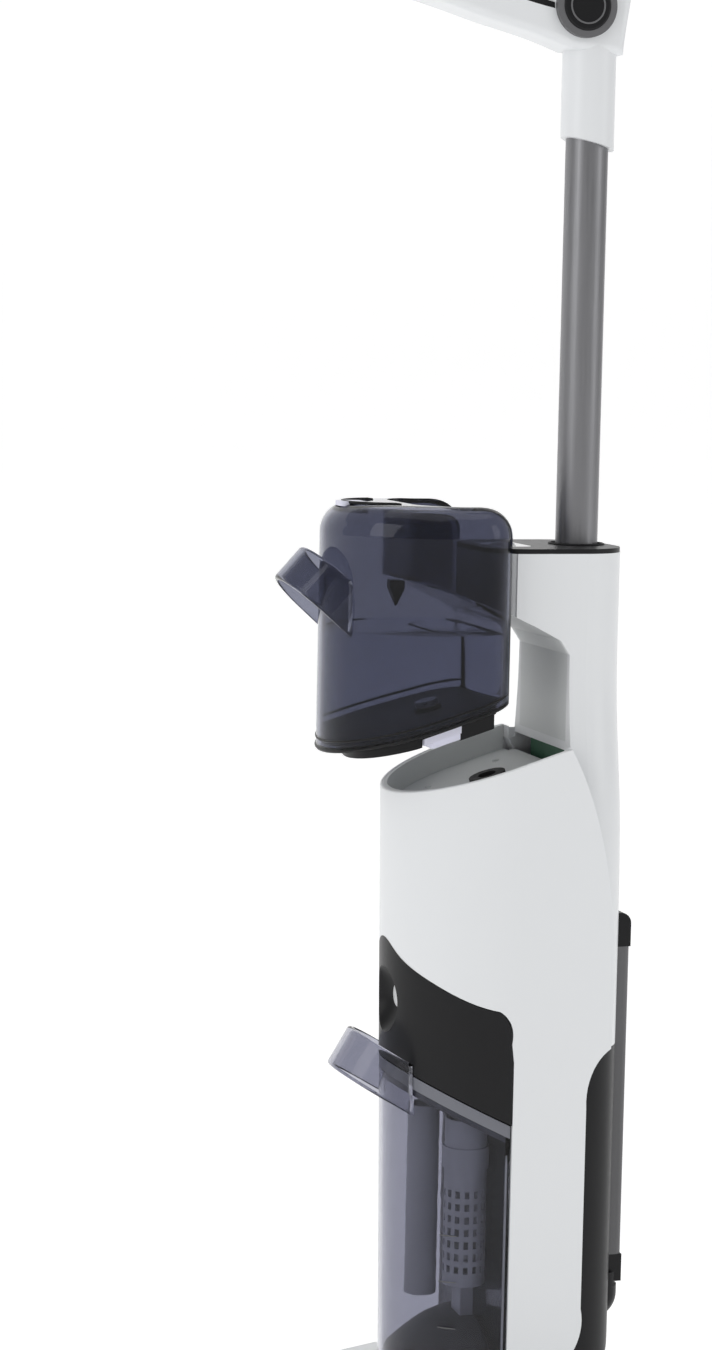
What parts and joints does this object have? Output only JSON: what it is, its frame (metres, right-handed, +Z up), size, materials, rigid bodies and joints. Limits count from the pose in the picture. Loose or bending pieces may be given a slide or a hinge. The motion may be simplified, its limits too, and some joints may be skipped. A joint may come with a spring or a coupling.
{
  "type": "wet dry floor scrubber",
  "caption": "Upright cordless wet dry floor scrubber with roller head, hinged body, lift-out clean water tank, pull-out dirty water tank, battery and loop handle on a tube.",
  "frame": {"origin": "floor level under the centre of the machine's plan bounding box", "axes": "+Z up, the tanks and roller at the front face -X, +Y to the side of the roller's drive"},
  "size_m": [0.2655, 0.286, 1.0635],
  "materials": {
    "white": "satin",
    "black": "satin",
    "black_matte": "matte",
    "grey_bay": "matte",
    "grey_dark": "matte",
    "tube_metal": "satin",
    "tank_smoke": "gloss",
    "tank_clear": "gloss",
    "tongue_light": "satin",
    "lid_grey": "satin",
    "basket_grey": "matte",
    "rubber": "matte",
    "tyre_rubber": "matte",
    "fleece": "matte",
    "core_plastic": "matte",
    "steel": "satin",
    "brass": "satin",
    "board_green": "matte",
    "cell_wrap": "matte",
    "display": "gloss",
    "silver": "satin"
  },
  "bodies": {
    "head": {"head_base": "black_matte", "drive_belt": "rubber", "head_cover": "white", "brush_motor": "steel", "scraper_blade": "rubber", "spray_bar": "grey_dark", "suction_mouth": "grey_dark", "glide_pads": "fleece", "charge_contacts": "brass", "head_screws": "steel"},
    "roller_cover": {"brush_cover": "tank_smoke"},
    "roller_carrier": {"brush_end_cap": "black"},
    "roller": {"brush_core": "core_plastic", "brush_fleece": "fleece"},
    "roller_drive": {"brush_drive_dog": "grey_dark"},
    "motor_drive": {"motor_pulley": "steel"},
    "wheel_left": {"wheel_hub_left": "grey_dark", "wheel_tyre_left": "tyre_rubber"},
    "wheel_right": {"wheel_hub_right": "grey_dark", "wheel_tyre_right": "tyre_rubber"},
    "neck": {"neck_yoke": "black_matte"},
    "body": {"lower_pod": "black", "main_shell": "white", "inner_frame": "grey_dark", "front_band": "black", "tank_tray": "grey_bay", "water_inlet_seal": "rubber", "top_plate": "black", "display_lens": "display", "tube_socket": "black_matte", "suction_motor": "grey_dark", "water_pump": "black_matte", "control_board": "board_green", "dirty_air_duct": "grey_dark"},
    "impeller": {"suction_impeller": "silver"},
    "release_button": {"dirty_release_button": "silver"},
    "battery": {"battery_case": "grey_dark", "battery_cap_top": "black", "battery_cap_bottom": "black", "battery_cells": "cell_wrap"},
    "battery_catch": {"battery_latch": "black_matte"},
    "clean_tank": {"clean_tank_shell": "tank_smoke", "clean_tank_base": "black", "clean_tank_tongue": "tongue_light", "clean_tank_grip": "tank_smoke"},
    "clean_latch": {"clean_tank_latch": "tongue_light"},
    "valve": {"clean_tank_valve_pin": "steel"},
    "dirty_tank": {"dirty_tank_shell": "tank_clear", "dirty_tank_lid": "lid_grey", "dirty_tank_grip": "tank_clear", "dirty_tank_pipe": "basket_grey", "float_cage": "basket_grey"},
    "float": {"float_ball": "silver"},
    "handle": {"handle_tube": "tube_metal", "handle_loop": "white", "handle_lining": "black_matte", "hub_rings": "grey_dark", "hub_caps": "black"},
    "power_key": {"power_button": "silver"},
    "clean_key": {"clean_button": "silver"}
  },
  "joints": [
    {"name": "roller_cover_lift", "type": "slide", "parent": "head", "child": "roller_cover", "axis": [0, 0, 1], "range_m": [0, 0.06]},
    {"name": "roller_pull", "type": "slide", "parent": "head", "child": "roller_carrier", "axis": [0, -1, 0], "range_m": [0, 0.26]},
    {"name": "roller_spin", "type": "hinge", "parent": "roller_carrier", "child": "roller", "pos_m": [-0.099, 0, 0.027], "axis": [0, 1, 0], "continuous": true},
    {"name": "roller_drive_spin", "type": "hinge", "parent": "head", "child": "roller_drive", "pos_m": [-0.099, 0.13, 0.027], "axis": [0, 1, 0], "continuous": true},
    {"name": "motor_spin", "type": "hinge", "parent": "head", "child": "motor_drive", "pos_m": [-0.034, 0.13, 0.036], "axis": [0, 1, 0], "continuous": true},
    {"name": "wheel_left_spin", "type": "hinge", "parent": "head", "child": "wheel_left", "pos_m": [0.112, -0.106, 0.02], "axis": [0, 1, 0], "continuous": true},
    {"name": "wheel_right_spin", "type": "hinge", "parent": "head", "child": "wheel_right", "pos_m": [0.112, 0.106, 0.02], "axis": [0, 1, 0], "continuous": true},
    {"name": "body_recline", "type": "hinge", "parent": "head", "child": "neck", "pos_m": [0.062, 0, 0.052], "axis": [0, 1, 0], "range_deg": [0, 60]},
    {"name": "body_swivel", "type": "hinge", "parent": "neck", "child": "body", "pos_m": [0.062, 0, 0.1], "axis": [0, 0, 1], "range_deg": [-35, 35]},
    {"name": "impeller_spin", "type": "hinge", "parent": "body", "child": "impeller", "pos_m": [0.024, 0, 0.38], "axis": [0, 0, 1], "continuous": true},
    {"name": "release_press", "type": "slide", "parent": "body", "child": "release_button", "axis": [1, 0, 0], "range_m": [0, 0.004], "stiffness_N_per_m": 400},
    {"name": "battery_pull", "type": "slide", "parent": "body", "child": "battery", "axis": [1, 0, 0], "range_m": [0, 0.09]},
    {"name": "battery_catch_press", "type": "slide", "parent": "battery", "child": "battery_catch", "axis": [-1, 0, 0], "range_m": [0, 0.0012], "stiffness_N_per_m": 400},
    {"name": "clean_tank_lift", "type": "slide", "parent": "body", "child": "clean_tank", "axis": [-0.8415, 0, 0.5402], "range_m": [-0.0481, 0.1]},
    {"name": "clean_latch_press", "type": "slide", "parent": "clean_tank", "child": "clean_latch", "axis": [0, 0, -1], "range_m": [0, 0.0015], "stiffness_N_per_m": 300},
    {"name": "valve_press", "type": "slide", "parent": "clean_tank", "child": "valve", "axis": [-0.3048, 0, 0.9524], "range_m": [0, 0.004], "stiffness_N_per_m": 200},
    {"name": "dirty_tank_pull", "type": "slide", "parent": "body", "child": "dirty_tank", "axis": [-1, 0, 0], "range_m": [0, 0.18]},
    {"name": "float_rise", "type": "slide", "parent": "dirty_tank", "child": "float", "axis": [0, 0, 1], "range_m": [0, 0.06]},
    {"name": "handle_lift", "type": "slide", "parent": "body", "child": "handle", "axis": [0, 0, 1], "range_m": [0, 0.05]},
    {"name": "power_press", "type": "slide", "parent": "handle", "child": "power_key", "axis": [0, 0, -1], "range_m": [0, 0.0015], "stiffness_N_per_m": 300},
    {"name": "clean_press", "type": "slide", "parent": "handle", "child": "clean_key", "axis": [0, 0, -1], "range_m": [0, 0.0015], "stiffness_N_per_m": 300}
  ],
  "couplings": [
    {"joint": "roller_drive_spin", "follows": "roller_spin", "ratio": 1},
    {"joint": "motor_spin", "follows": "roller_spin", "ratio": 1.75}
  ]
}
